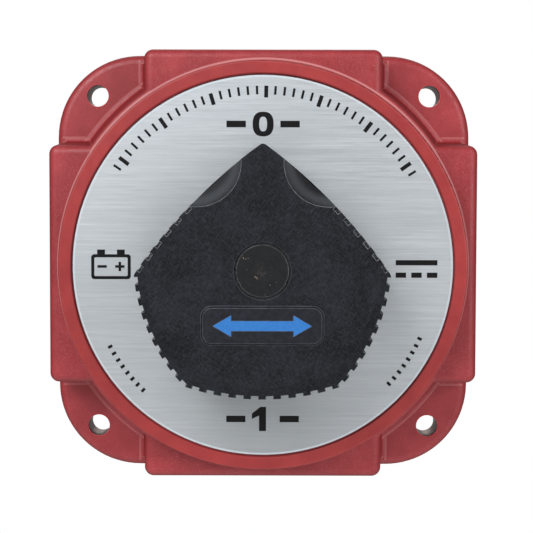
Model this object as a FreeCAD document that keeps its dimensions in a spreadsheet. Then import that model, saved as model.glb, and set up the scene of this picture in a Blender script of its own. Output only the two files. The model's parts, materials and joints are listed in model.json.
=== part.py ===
import FreeCAD, Part
import math
import os
import re
import Sketcher

# Surface-mounted marine battery switch.
#
# Every sub-part is drawn lying on its back: local X is right, local Y is up
# the panel (towards the OFF legend) and local Z is the height above the
# mounting face.  FRONT then stands it upright, so that the row frame has
# +Z up and the front of the switch faces -Y.

DIMENSIONS = {
    # housing, outside
    "overall_width": 168.3,
    "ear_corner_radius": 33.5,
    "ear_reach": 84.0,
    "ear_height": 15.0,
    "ear_edge_round": 3.4,
    "block_half_width": 46.5,
    "block_height": 39.0,
    "block_corner_round": 3.6,
    "block_edge_round": 3.3,
    "wall_draft": 5.0,
    "drum_edge_round": 1.6,
    "drum_draft": 8.8,
    "foot_round": 2.0,
    "drum_radius": 82.0,
    "bezel_foot_radius": 80.2,
    "bezel_outer_radius": 78.6,
    "bezel_inner_radius": 73.5,
    "bezel_height": 52.5,
    "bezel_chamfer": 0.7,
    "hole_spacing": 135.0,
    "bolt_hole_radius": 4.366,
    "sleeve_radius": 5.4,
    "sleeve_height": 13.4,
    # housing, inside
    "cavity_radius": 72.0,
    "ledge_height": 25.8,
    "chamber_radius": 66.0,
    "chamber_top": 46.0,
    "hollow_inner": 74.5,
    "hollow_outer": 80.0,
    "hollow_half_width": 38.0,
    "hollow_top": 35.0,
    "cable_slot_half_width": 12.0,
    "cable_slot_height": 22.0,
    "screw_boss_radius": 5.5,
    "screw_circle_radius": 62.0,
    "screw_pilot_radius": 1.7,
    "screw_pilot_top": 40.0,
    # dial plate and bushing
    "dial_radius": 73.0,
    "dial_back": 50.2,
    "dial_front": 51.0,
    "dial_hole_radius": 12.7,
    "bushing_radius": 12.0,
    "bushing_flange_radius": 16.0,
    "bushing_flange_height": 43.5,
    "bushing_top": 53.0,
    # spindle and what turns with it
    "journal_radius": 8.0,
    "running_clearance": 0.05,
    "seal_groove_radius": 6.2,
    "seal_height": 49.0,
    "seal_section_radius": 0.88,
    "collar_radius": 11.5,
    "collar_height": 40.0,
    "collar_top": 42.4,
    "thrust_washer_radius": 14.5,
    "drive_square": 12.0,
    "knob_square": 10.0,
    "spindle_top": 75.5,
    "screw_hole_bottom": 58.0,
    "pivot_radius": 4.0,
    "pivot_bottom": 21.6,
    "pivot_top": 27.5,
    "circlip_low": 29.7,
    "circlip_high": 31.0,
    "carrier_low": 31.2,
    "carrier_high": 37.2,
    "carrier_radius": 44.0,
    "lug_reach": 53.0,
    "lug_half_width": 4.0,
    "stop_half_width": 3.0,
    "stop_turn": 8.7,
    "stop_inner_radius": 48.5,
    "disc_spring_inner": 9.2,
    "disc_spring_outer": 17.0,
    "disc_spring_thickness": 0.9,
    # contacts
    "segment_low": 28.5,
    "segment_inner_radius": 26.0,
    "segment_outer_radius": 42.0,
    "segment_half_angle": 75.0,
    "contact_top": 28.4,
    "contact_half_width": 8.0,
    "contact_turn": 60.0,
    "stud_offset": 34.0,
    "stud_radius": 4.7625,
    "stud_core_radius": 4.2,
    "stud_end": 1.5,
    "stud_free_length": 7.5,
    "stud_head_radius": 7.5,
    "stud_head_height": 1.5,
    "stud_head_seat": 2.0,
    "contact_corner": 1.5,
    "rivet_circle_radius": 34.0,
    "rivet_radius": 2.0,
    "rivet_seat_radius": 3.2,
    "rivet_seat_depth": 1.2,
    "rivet_head_radius": 3.4,
    "rivet_head_height": 1.4,
    # terminal base
    "base_screw_head_radius": 4.2,
    "base_screw_head_height": 2.6,
    "base_screw_recess_radius": 1.5,
    "base_screw_recess_depth": 1.6,
    "base_radius": 71.5,
    "base_low": 20.0,
    "base_high": 25.0,
    "washer_thickness": 1.6,
    "washer_radius": 9.5,
    "lock_washer_thickness": 2.2,
    "lock_washer_radius": 8.0,
    "nut_height": 6.9,
    "nut_across_flats": 14.29,
    # detent
    "detent_notch_depth": 1.4,
    "detent_notch_half_width": 3.6,
    "leaf_thickness": 0.8,
    "leaf_line": 52.0,
    "leaf_bend_line": 46.8,
    "leaf_root": 30.5,
    "leaf_nose_gap": 0.25,
    "holder_near": 20.0,
    "holder_far": 31.0,
    "holder_inner_line": 48.6,
    "holder_outer_line": 56.0,
    # knob
    "knob_bottom": 52.0,
    "knob_flange_top": 54.2,
    "knob_top": 88.5,
    "knob_apex": 45.8,
    "knob_side_x": 46.2,
    "knob_side_y": 1.5,
    "knob_foot_x": 28.2,
    "knob_foot_y": 42.2,
    "knob_upper_arc": 190.0,
    "knob_lower_arc": 68.6,
    "knob_foot_arc": 94.0,
    "knob_corner_round": 2.0,
    "knob_apex_round": 1.2,
    "knob_flat_radius": 41.8,
    "knob_bevel_angle": 27.0,
    "knob_edge_round": 0.5,
    "flange_reach": 1.4,
    "flange_round": 1.0,
    "rib_pitch": 5.45,
    "side_rib_pitch": 5.25,
    "rib_gap": 2.5,
    "rib_depth": 1.3,
    "scoop_radius": 16.8,
    "scoop_centre_x": 25.2,
    "scoop_centre_y": 40.6,
    "scoop_tilt": 24.0,
    "scoop_bearing": 46.9,
    "scoop_length": 60.0,
    "scoop_rise": 20.0,
    "knob_hollow_radius": 28.5,
    "knob_hollow_top": 80.0,
    "knob_boss_radius": 15.0,
    "knob_boss_bottom": 54.5,
    "knob_socket_top": 76.0,
    "knob_web_top": 79.0,
    "cap_recess_radius": 10.35,
    "cap_radius": 9.75,
    "cap_bottom": 85.0,
    "cap_skirt": 1.4,
    "cap_skirt_depth": 2.5,
    "screw_radius": 3.0,
    "screw_head_radius": 5.5,
    "screw_head_height": 2.4,
    "screw_head_crown": 1.0,
    "driver_slot_half_length": 2.6,
    "driver_slot_half_width": 0.5,
    "driver_slot_depth": 1.6,
    "screw_washer_radius": 8.0,
    "screw_washer_thickness": 1.2,
    # badge
    "badge_centre_y": 19.6,
    "badge_half_length": 22.2,
    "badge_half_height": 7.2,
    "badge_corner": 4.2,
    "badge_rise": 0.9,
    "inlay_half_length": 17.6,
    "inlay_half_height": 3.75,
    "inlay_head_length": 6.4,
    "inlay_bar_half_height": 1.75,
    "inlay_depth": 0.5,
}

FRONT = FreeCAD.Placement(
    FreeCAD.Vector(0, 0, 0), FreeCAD.Rotation(FreeCAD.Vector(1, 0, 0), 90)
)
SHEET = "Dimensions"
TINY = 1e-9

doc = FreeCAD.newDocument("battery_switch")
sub_parts = []


def make_sheet():
    """Put every driving dimension in a spreadsheet cell with an alias."""
    sheet = doc.addObject("Spreadsheet::Sheet", SHEET)
    for row, (alias, number) in enumerate(DIMENSIONS.items(), start=1):
        sheet.set(f"A{row}", alias)
        sheet.set(f"B{row}", str(number))
        sheet.setAlias(f"B{row}", alias)
    doc.recompute()
    return sheet


sheet = make_sheet()


def bound(text):
    """The expression with each alias pointing at its cell in the sheet."""

    def cell(match):
        word = match.group(0)
        return f"{SHEET}.{word}" if word in DIMENSIONS else word

    return re.sub(r"[A-Za-z_]\w*", cell, str(text))


def value(text):
    """What an expression of the driving dimensions comes to now."""
    return float(sheet.evalExpression(bound(text)))


def finish(shape_object, label):
    """Name a finished sub-part, stand it upright and list it for writing."""
    shape_object.Label = label
    shape_object.Placement = FRONT
    sub_parts.append(shape_object)
    return shape_object


# ---------------------------------------------------------------- sketches


def new_body(label):
    body = doc.addObject("PartDesign::Body", label)
    return finish(body, label)


def new_sketch(body, name, role="XY_Plane", height="0", shift=("0", "0"), turn="0"):
    """A sketch on one of the body's own origin planes, raised and turned."""
    sketch = body.newObject("Sketcher::SketchObject", name)
    plane = next(item for item in body.Origin.OriginFeatures if item.Role == role)
    sketch.AttachmentSupport = (plane, [""])
    sketch.MapMode = "FlatFace"
    sketch.setExpression("AttachmentOffset.Base.x", bound(shift[0]))
    sketch.setExpression("AttachmentOffset.Base.y", bound(shift[1]))
    sketch.setExpression("AttachmentOffset.Base.z", bound(height))
    sketch.setExpression("AttachmentOffset.Rotation.Angle", bound(turn))
    sketch.AttachmentOffset.Rotation.Axis = FreeCAD.Vector(0, 0, 1)
    return sketch


def pin_coordinate(sketch, kind, geometry, vertex, text):
    """Tie one coordinate of a sketch point to an expression."""
    number = value(text)
    if abs(number) < TINY:
        axis = -2 if kind == "DistanceX" else -1
        sketch.addConstraint(Sketcher.Constraint("PointOnObject", geometry, vertex, axis))
        return
    ends = (-1, 1, geometry, vertex) if number > 0 else (geometry, vertex, -1, 1)
    index = sketch.addConstraint(Sketcher.Constraint(kind, *ends, abs(number)))
    sign = "" if number > 0 else "-"
    sketch.setExpression(f"Constraints[{index}]", f"{sign}({bound(text)})")


def add_circle(sketch, radius, centre=("0", "0")):
    middle = FreeCAD.Vector(value(centre[0]), value(centre[1]), 0)
    circle = Part.Circle(middle, FreeCAD.Vector(0, 0, 1), value(radius))
    geometry = sketch.addGeometry(circle, False)
    pin_coordinate(sketch, "DistanceX", geometry, 3, centre[0])
    pin_coordinate(sketch, "DistanceY", geometry, 3, centre[1])
    index = sketch.addConstraint(Sketcher.Constraint("Radius", geometry, value(radius)))
    sketch.setExpression(f"Constraints[{index}]", bound(radius))


def right_of(chord):
    """The level unit vector square to a chord, on its right."""
    return FreeCAD.Vector(chord.y, -chord.x, 0).normalize()


def arc_centre(start, end, radius):
    """The centre of an arc that bulges right, or left for a negative radius."""
    chord = end - start
    reach = math.sqrt(radius * radius - chord.Length ** 2 / 4)
    return (start + end) * 0.5 - right_of(chord) * math.copysign(reach, radius)


def bearing(vector):
    return math.atan2(vector.y, vector.x)


def add_arc(sketch, start, end, radius):
    """Draw an arc and say which of its two vertices is the start."""
    centre = arc_centre(start, end, radius)
    circle = Part.Circle(centre, FreeCAD.Vector(0, 0, 1), abs(radius))
    first, last = bearing(start - centre), bearing(end - centre)
    if radius < 0:
        first, last = last, first
    if last < first:
        last += 2 * math.pi
    geometry = sketch.addGeometry(Part.ArcOfCircle(circle, first, last), False)
    return geometry, 1 if radius > 0 else 2


def add_loop(sketch, corners, arcs=None):
    """A closed outline through corners given as pairs of expressions.

    arcs maps a side's number to the radius of the arc that replaces it,
    negative where the arc bulges to the left of the way round.
    """
    arcs = arcs or {}
    points = [FreeCAD.Vector(value(x), value(y), 0) for x, y in corners]
    count = len(points)
    sides = []
    for number, start in enumerate(points):
        end = points[(number + 1) % count]
        if number in arcs:
            sides.append(add_arc(sketch, start, end, value(arcs[number])))
        else:
            sides.append((sketch.addGeometry(Part.LineSegment(start, end), False), 1))
    for number, (geometry, first) in enumerate(sides):
        next_geometry, next_first = sides[(number + 1) % count]
        joint = (geometry, 3 - first, next_geometry, next_first)
        sketch.addConstraint(Sketcher.Constraint("Coincident", *joint))
        pin_coordinate(sketch, "DistanceX", geometry, first, corners[number][0])
        pin_coordinate(sketch, "DistanceY", geometry, first, corners[number][1])
        if number in arcs:
            radius = Sketcher.Constraint("Radius", geometry, abs(value(arcs[number])))
            index = sketch.addConstraint(radius)
            sketch.setExpression(f"Constraints[{index}]", f"abs({bound(arcs[number])})")


def rectangle(left, low, right, high):
    return [(left, low), (right, low), (right, high), (left, high)]


# ---------------------------------------------------------------- features


def pad(body, sketch, length, both=False):
    """Raise the sketch's outline by length, or by half of it both ways."""
    feature = body.newObject("PartDesign::Pad", "Pad")
    feature.Profile = sketch
    feature.Midplane = both
    feature.setExpression("Length", bound(length))
    doc.recompute()
    return feature


def check_cut(feature, before):
    doc.recompute()
    if feature.Shape.isNull() or feature.Shape.Volume > before - 1e-3:
        raise RuntimeError(f"{feature.Label} cut nothing")
    return feature


def pocket(body, sketch, length, upward=False, both=False):
    """Cut the sketch's outline by length, down or up from its plane."""
    before = body.Shape.Volume
    feature = body.newObject("PartDesign::Pocket", "Pocket")
    feature.Profile = sketch
    feature.Reversed = upward
    feature.Midplane = both
    feature.setExpression("Length", bound(length))
    return check_cut(feature, before)


def revolve(body, profile, arcs=None):
    """A full turn about the switch's axis of a profile of (radius, height)."""
    sketch = new_sketch(body, "profile", "XZ_Plane")
    add_loop(sketch, profile, arcs)
    feature = body.newObject("PartDesign::Revolution", "Revolution")
    feature.Profile = sketch
    feature.ReferenceAxis = (sketch, ["V_Axis"])
    feature.Angle = 360
    doc.recompute()
    return feature


def groove(body, profile):
    """Cut a full turn about the switch's axis of a (radius, height) profile."""
    before = body.Shape.Volume
    sketch = new_sketch(body, "cut_profile", "XZ_Plane")
    add_loop(sketch, profile)
    feature = body.newObject("PartDesign::Groove", "Groove")
    feature.Profile = sketch
    feature.ReferenceAxis = (sketch, ["V_Axis"])
    feature.Angle = 360
    return check_cut(feature, before)


def polar(body, originals, count, sketch, angle="360", whole=False):
    """Repeat features, or the whole body, round the normal at a sketch's origin."""
    feature = body.newObject("PartDesign::PolarPattern", "PolarPattern")
    if whole:
        feature.TransformMode = "Whole shape"
    else:
        feature.Originals = originals
    feature.Axis = (sketch, ["N_Axis"])
    feature.setExpression("Angle", bound(angle))
    feature.Occurrences = count
    body.Tip = feature
    doc.recompute()
    return feature


def round_edges(body, base, radius, wanted, kind="Fillet"):
    """Fillet or chamfer the edges of base for which wanted(edge) is true."""
    names = [
        f"Edge{number}"
        for number, edge in enumerate(base.Shape.Edges, start=1)
        if wanted(edge)
    ]
    if not names:
        raise RuntimeError(f"no edge to round in {body.Label}")
    feature = body.newObject(f"PartDesign::{kind}", kind)
    feature.Base = (base, names)
    feature.setExpression("Radius" if kind == "Fillet" else "Size", bound(radius))
    doc.recompute()
    return feature


def turned(label, profile):
    """A sub-part that is one turned profile round the switch's axis."""
    body = new_body(label)
    revolve(body, profile)
    return body


# ------------------------------------------------------- simple primitives


def place(primitive, x, y, z, turn="0"):
    primitive.setExpression("Placement.Base.x", bound(x))
    primitive.setExpression("Placement.Base.y", bound(y))
    primitive.setExpression("Placement.Base.z", bound(z))
    primitive.setExpression("Placement.Rotation.Angle", bound(turn))
    return primitive


def cylinder(radius, low, high, x="0", y="0"):
    solid = doc.addObject("Part::Cylinder", "Cylinder")
    solid.setExpression("Radius", bound(radius))
    solid.setExpression("Height", bound(f"({high}) - ({low})"))
    return place(solid, x, y, low)


def hexagon(across_flats, low, high, x="0", y="0"):
    solid = doc.addObject("Part::Prism", "Prism")
    solid.Polygon = 6
    solid.setExpression("Circumradius", bound(f"({across_flats}) / sqrt(3)"))
    solid.setExpression("Height", bound(f"({high}) - ({low})"))
    return place(solid, x, y, low)


def cut(base, tool):
    result = doc.addObject("Part::Cut", "Cut")
    result.Base = base
    result.Tool = tool
    return result


def fuse(*pieces):
    result = doc.addObject("Part::MultiFuse", "Fusion")
    result.Shapes = list(pieces)
    return result


def ring(outer, inner, low, high, x="0", y="0"):
    return cut(cylinder(outer, low, high, x, y), cylinder(inner, low, high, x, y))


def group(label, pieces):
    """Separate, identical solids that share one node."""
    compound = doc.addObject("Part::Compound", label)
    compound.Links = pieces
    doc.recompute()
    return finish(compound, label)


CORNERS = [("", ""), ("-", ""), ("-", "-"), ("", "-")]


def at_corners(half_x, half_y):
    """The four places (+-half_x, +-half_y) as expressions."""
    return [(f"{sx}({half_x})", f"{sy}({half_y})") for sx, sy in CORNERS]


HOLES = at_corners("hole_spacing / 2", "hole_spacing / 2")
SCREWS = at_corners("screw_circle_radius * cos(45)", "screw_circle_radius * sin(45)")
STUD_X = "stud_offset * sin(contact_turn)"
STUD_Y = "-stud_offset * cos(contact_turn)"
STUDS = {"left": f"-({STUD_X})", "right": STUD_X}


# ----------------------------------------------------------------- housing


def near(number, target, slack=0.05):
    return abs(number - target) < slack


def levels(edge):
    return [vertex.Point.z for vertex in edge.Vertexes]


def upright(edge):
    """True for an edge that rises from one level to another."""
    return len(set(round(level, 3) for level in levels(edge))) == 2


def at_level(height):
    """A test for edges that lie wholly at one height."""
    number = value(height)
    return lambda edge: all(near(level, number, 0.001) for level in levels(edge))


def build_housing():
    body = new_body("housing")
    build_housing_outside(body)
    groove(
        body,
        [
            ("0", "0"),
            ("cavity_radius", "0"),
            ("cavity_radius", "ledge_height"),
            ("chamber_radius", "ledge_height"),
            ("chamber_radius", "chamber_top"),
            ("0", "chamber_top"),
        ],
    )
    add_block_hollows(body)
    add_inner_ribs(body)
    add_housing_holes(body)


def build_housing_outside(body):
    """One bar on two blocks, turned to make four, then drum, ears and bezel."""
    bar_foot = "block_half_width + (block_height - ear_height) * tan(wall_draft)"
    sketch = new_sketch(body, "block_section", "YZ_Plane")
    section = [
        (f"-({bar_foot})", "0"),
        (bar_foot, "0"),
        (bar_foot, "ear_height"),
        ("block_half_width", "block_height"),
        ("-block_half_width", "block_height"),
        (f"-({bar_foot})", "ear_height"),
    ]
    add_loop(sketch, section)
    base = pad(body, sketch, "overall_width", both=True)
    base = round_edges(body, base, "block_corner_round", upright)
    base = round_edges(body, base, "block_edge_round", at_level("block_height"))
    polar(body, [], 2, new_sketch(body, "centre"), "90", whole=True)
    drum_foot = "drum_radius + (block_height - ear_height) * tan(drum_draft)"
    rounding = "drum_edge_round"
    revolve(
        body,
        [
            ("0", "0"),
            (drum_foot, "0"),
            (drum_foot, "ear_height"),
            ("drum_radius", f"block_height - {rounding}"),
            (f"drum_radius - {rounding}", "block_height"),
            ("0", "block_height"),
        ],
        {3: rounding},
    )
    add_ears(body)
    add_foot_rounds(body, bar_foot, drum_foot)
    revolve(
        body,
        [
            ("0", "block_height - 1"),
            ("bezel_foot_radius", "block_height - 1"),
            ("bezel_foot_radius", "block_height"),
            ("bezel_foot_radius - 0.7", "block_height + 1"),
            ("bezel_outer_radius", "bezel_height - bezel_chamfer"),
            ("bezel_outer_radius - bezel_chamfer", "bezel_height"),
            ("bezel_inner_radius + bezel_chamfer", "bezel_height"),
            ("bezel_inner_radius", "bezel_height - bezel_chamfer"),
            ("bezel_inner_radius", "dial_back"),
            ("0", "dial_back"),
        ],
        {4: "bezel_chamfer", 6: "bezel_chamfer"},
    )


def add_ears(body):
    """Join the low plate whose four rounded corners carry the mounting holes."""
    blank = doc.addObject("PartDesign::Body", "ear_plate_blank")
    sketch = new_sketch(blank, "ear_plate")
    add_loop(sketch, rectangle("-ear_reach", "-ear_reach", "ear_reach", "ear_reach"))
    base = pad(blank, sketch, "ear_height")
    base = round_edges(blank, base, "ear_corner_radius", upright)
    round_edges(blank, base, "ear_edge_round", at_level("ear_height"))
    join_body(body, blank)


def add_foot_rounds(body, bar_foot, drum_foot):
    """Fill the inner corners where the drum and the blocks rise from the ears."""
    radius = value(drum_foot)

    def drum_corner(edge):
        middle = edge.valueAt((edge.FirstParameter + edge.LastParameter) / 2)
        return at_level("ear_height")(edge) and near(math.hypot(middle.x, middle.y), radius, 0.01)

    round_edges(body, body.Tip, "foot_round", drum_corner)
    for sign in ("", "-"):
        sketch = new_sketch(body, "block_foot", "YZ_Plane", height="drum_radius - 14")
        outer = f"{sign}({bar_foot} + foot_round)"
        inner = f"{sign}({bar_foot} - 1)"
        corners = [
            (inner, "ear_height - 1"),
            (outer, "ear_height - 1"),
            (outer, "ear_height"),
            (f"{sign}({bar_foot} - foot_round * tan(wall_draft))", "ear_height + foot_round"),
            (inner, "ear_height + foot_round"),
        ]
        bulge = "-foot_round" if not sign else "foot_round"
        add_loop(sketch, corners, {2: bulge})
        feature = pad(body, sketch, "ear_reach - ear_edge_round - drum_radius + 14")
        polar(body, [feature], 4, new_sketch(body, "centre"))


def add_block_hollows(body):
    """The blocks are moulded hollow, with one arched cable exit in each."""
    sketch = new_sketch(body, "block_hollow")
    outline = rectangle("hollow_inner", "-hollow_half_width", "hollow_outer", "hollow_half_width")
    add_loop(sketch, outline)
    feature = pocket(body, sketch, "hollow_top", upward=True)
    polar(body, [feature], 4, sketch)
    arch = "cable_slot_height - cable_slot_half_width"
    for role in ("XZ_Plane", "YZ_Plane"):
        sketch = new_sketch(body, "cable_slot", role)
        wide = "cable_slot_half_width"
        corners = [(f"-{wide}", "-1"), (wide, "-1"), (wide, arch), (f"-{wide}", arch)]
        add_loop(sketch, corners)
        pocket(body, sketch, "overall_width + 20", both=True)
        sketch = new_sketch(body, "cable_arch", role)
        add_circle(sketch, "cable_slot_half_width - 0.001", ("0", arch))
        pocket(body, sketch, "overall_width + 20", both=True)


def add_inner_ribs(body):
    """Screw bosses, the two rotor stops and the slot that holds the detent leaf."""
    sketch = new_sketch(body, "screw_bosses", height="ledge_height")
    for spot in SCREWS:
        add_circle(sketch, "screw_boss_radius", spot)
    pad(body, sketch, "chamber_top - ledge_height")
    for side in ("-stop_turn", "180 + stop_turn"):
        sketch = new_sketch(body, "stop", height="carrier_low", turn=side)
        outline = rectangle("stop_inner_radius", "-stop_half_width", "chamber_radius + 1", "stop_half_width")
        add_loop(sketch, outline)
        pad(body, sketch, "chamber_top - carrier_low")
    sketch = new_sketch(body, "leaf_holder", height="carrier_low + 0.5")
    gap = "leaf_thickness / 2"
    ends = ("holder_near", "holder_far")
    add_loop(sketch, rectangle(ends[0], f"-leaf_line + {gap}", ends[1], "-holder_inner_line"))
    add_loop(sketch, rectangle(ends[0], "-holder_outer_line", ends[1], f"-leaf_line - {gap}"))
    pad(body, sketch, "chamber_top - carrier_low - 0.5")


def add_housing_holes(body):
    sketch = new_sketch(body, "bushing_hole", height="dial_back")
    add_circle(sketch, "bushing_radius")
    pocket(body, sketch, "dial_back - chamber_top + 1")
    sketch = new_sketch(body, "screw_pilots", height="ledge_height")
    for spot in SCREWS:
        add_circle(sketch, "screw_pilot_radius", spot)
    pocket(body, sketch, "screw_pilot_top - ledge_height", upward=True)
    sketch = new_sketch(body, "mounting_holes")
    for spot in HOLES:
        add_circle(sketch, "bolt_hole_radius", spot)
    pocket(body, sketch, "ear_height + 1", upward=True)
    sketch = new_sketch(body, "sleeve_seats")
    for spot in HOLES:
        add_circle(sketch, "sleeve_radius", spot)
    pocket(body, sketch, "sleeve_height", upward=True)


def build_housing_fittings():
    sleeves = [ring("sleeve_radius", "bolt_hole_radius", "0", "sleeve_height", *spot) for spot in HOLES]
    group("mounting_sleeves", sleeves)
    turned(
        "dial_plate",
        rectangle("dial_hole_radius", "dial_back", "dial_radius", "dial_front"),
    )
    bore = "journal_radius + running_clearance"
    turned(
        "shaft_bushing",
        [
            (bore, "bushing_flange_height"),
            ("bushing_flange_radius", "bushing_flange_height"),
            ("bushing_flange_radius", "chamber_top"),
            ("bushing_radius", "chamber_top"),
            ("bushing_radius", "bushing_top - 0.6"),
            ("bushing_radius - 0.6", "bushing_top"),
            (bore, "bushing_top"),
        ],
    )


# ----------------------------------------------------------- terminal base


def build_terminal_base():
    body = new_body("terminal_base")
    sketch = new_sketch(body, "disc", height="base_low")
    add_circle(sketch, "base_radius")
    base = pad(body, sketch, "base_high - base_low")
    round_edges(body, base, "0.6", at_level("base_low"), "Chamfer")
    sketch = new_sketch(body, "pivot_seat", height="base_high")
    add_circle(sketch, "pivot_radius + running_clearance")
    pocket(body, sketch, "base_high - pivot_bottom + 0.4")
    sketch = new_sketch(body, "clearance_holes", height="base_high")
    for spot in SCREWS:
        add_circle(sketch, "screw_pilot_radius + 0.4", spot)
    for x in STUDS.values():
        add_circle(sketch, "stud_radius + 0.1", (x, STUD_Y))
    pocket(body, sketch, "base_high - base_low + 1")
    gasket = cylinder("base_radius", "base_high", "ledge_height")
    opening = cylinder("chamber_radius + 0.5", "base_high", "ledge_height")
    finish(cut(gasket, opening), "base_gasket")
    group("base_screws", [base_screw(x, y) for x, y in SCREWS])


def base_screw(x, y):
    head_low = "base_low - base_screw_head_height"
    head = cylinder("base_screw_head_radius", head_low, "base_low", x, y)
    shank = cylinder("screw_pilot_radius", "base_low", "screw_pilot_top - 2", x, y)
    recess_top = f"{head_low} + base_screw_recess_depth"
    recess = cylinder("base_screw_recess_radius", f"{head_low} - 1", recess_top, x, y)
    return cut(fuse(head, shank), recess)


def build_terminals():
    """A copper pad, a threaded stud and its nut and washers on each side."""
    for side, x in STUDS.items():
        build_fixed_contact(side, x)
        seat = "contact_top - stud_head_seat"
        free_top = "stud_end + stud_free_length"
        free_end = cylinder("stud_radius", "stud_end", free_top, x, STUD_Y)
        shank = cylinder("stud_core_radius", free_top, seat, x, STUD_Y)
        head = cylinder("stud_head_radius", seat, f"{seat} + stud_head_height", x, STUD_Y)
        finish(fuse(free_end, shank, head), f"terminal_stud_{side}")
    washer_low = "base_low - washer_thickness"
    lock_low = f"{washer_low} - lock_washer_thickness"
    nut_low = f"{lock_low} - nut_height"
    places = STUDS.values()
    washers = [ring("washer_radius", "stud_radius + 0.2", washer_low, "base_low", x, STUD_Y) for x in places]
    group("stud_flat_washers", washers)
    group("stud_lock_washers", [lock_washer(x, lock_low, washer_low) for x in places])
    group("stud_nuts", [stud_nut(x, nut_low, lock_low) for x in places])


def build_fixed_contact(side, x):
    body = new_body(f"fixed_contact_{side}")
    turn = "-90 + contact_turn" if side == "right" else "-90 - contact_turn"
    sketch = new_sketch(body, "pad", height="base_high", turn=turn)
    half = "contact_half_width"
    outline = rectangle("segment_inner_radius", f"-{half}", "segment_outer_radius", half)
    add_loop(sketch, outline)
    base = pad(body, sketch, "contact_top - base_high")
    round_edges(body, base, "contact_corner", upright)
    sketch = new_sketch(body, "stud_seat", height="contact_top")
    add_circle(sketch, "stud_head_radius", (x, STUD_Y))
    pocket(body, sketch, "stud_head_seat")
    sketch = new_sketch(body, "stud_hole", height="contact_top")
    add_circle(sketch, "stud_core_radius", (x, STUD_Y))
    pocket(body, sketch, "contact_top - base_high + 1")


def lock_washer(x, low, high):
    """A spring washer with its split."""
    washer = ring("lock_washer_radius", "stud_radius + 0.1", low, high, x, STUD_Y)
    split = doc.addObject("Part::Box", "Split")
    split.setExpression("Length", bound("lock_washer_radius + 1"))
    split.Width = 1.2
    split.setExpression("Height", bound("lock_washer_thickness + 2"))
    place(split, x, f"{STUD_Y} - 0.6", f"{low} - 1")
    return cut(washer, split)


def stud_nut(x, low, high):
    blank = hexagon("nut_across_flats", low, high, x, STUD_Y)
    return cut(blank, cylinder("stud_core_radius", low, high, x, STUD_Y))


# ------------------------------------------------------------------- rotor


def build_spindle():
    body = turned(
        "spindle",
        [
            ("0", "pivot_bottom"),
            ("pivot_radius - 0.5", "pivot_bottom"),
            ("pivot_radius", "pivot_bottom + 0.5"),
            ("pivot_radius", "pivot_top"),
            ("drive_square * 0.7", "pivot_top"),
            ("drive_square * 0.7", "circlip_low"),
            ("drive_square * 0.55", "circlip_low"),
            ("drive_square * 0.55", "circlip_high"),
            ("drive_square * 0.7", "circlip_high"),
            ("drive_square * 0.7", "collar_height"),
            ("collar_radius", "collar_height"),
            ("collar_radius", "collar_top"),
            ("journal_radius", "collar_top"),
            ("journal_radius", "seal_height - seal_section_radius - 0.1"),
            ("seal_groove_radius", "seal_height - seal_section_radius - 0.1"),
            ("seal_groove_radius", "seal_height + seal_section_radius + 0.1"),
            ("journal_radius", "seal_height + seal_section_radius + 0.1"),
            ("journal_radius", "knob_boss_bottom - 0.5"),
            ("knob_square * 0.705", "knob_boss_bottom - 0.5"),
            ("knob_square * 0.705", "spindle_top"),
            ("0", "spindle_top"),
        ],
    )
    mill_square(body, "drive_square", "pivot_top", "collar_height")
    mill_square(body, "knob_square", "knob_boss_bottom - 0.5", "spindle_top")
    sketch = new_sketch(body, "screw_hole", height="spindle_top")
    add_circle(sketch, "screw_radius")
    pocket(body, sketch, "spindle_top - screw_hole_bottom")
    seal = doc.addObject("Part::Torus", "Torus")
    seal.setExpression("Radius1", bound("seal_groove_radius + seal_section_radius"))
    seal.setExpression("Radius2", bound("seal_section_radius"))
    place(seal, "0", "0", "seal_height")
    finish(fuse_one(seal), "spindle_seal")
    top = "bushing_flange_height - running_clearance"
    finish(ring("thrust_washer_radius", "journal_radius + 0.2", "collar_top", top), "thrust_washer")
    clip = ring("drive_square * 0.9", "drive_square * 0.55", "circlip_low", "circlip_high")
    mouth = doc.addObject("Part::Box", "Mouth")
    mouth.setExpression("Length", bound("drive_square"))
    mouth.setExpression("Width", bound("drive_square * 0.8"))
    mouth.Height = 4
    place(mouth, "0", "-drive_square * 0.4", "circlip_low - 1")
    finish(cut(clip, mouth), "spindle_circlip")


def fuse_one(primitive):
    """Hold one placed primitive so that the sub-part can be stood upright."""
    compound = doc.addObject("Part::Compound", "Single")
    compound.Links = [primitive]
    return compound


def mill_square(body, side, low, high):
    """Four flats on a turned length of the spindle."""
    sketch = new_sketch(body, "flats", height=low)
    half = f"{side} / 2"
    add_loop(sketch, rectangle(f"-{half}", f"-{half}", half, half))
    add_circle(sketch, f"{side} * 2")
    pocket(body, sketch, f"{high} - ({low})", upward=True)


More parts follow.
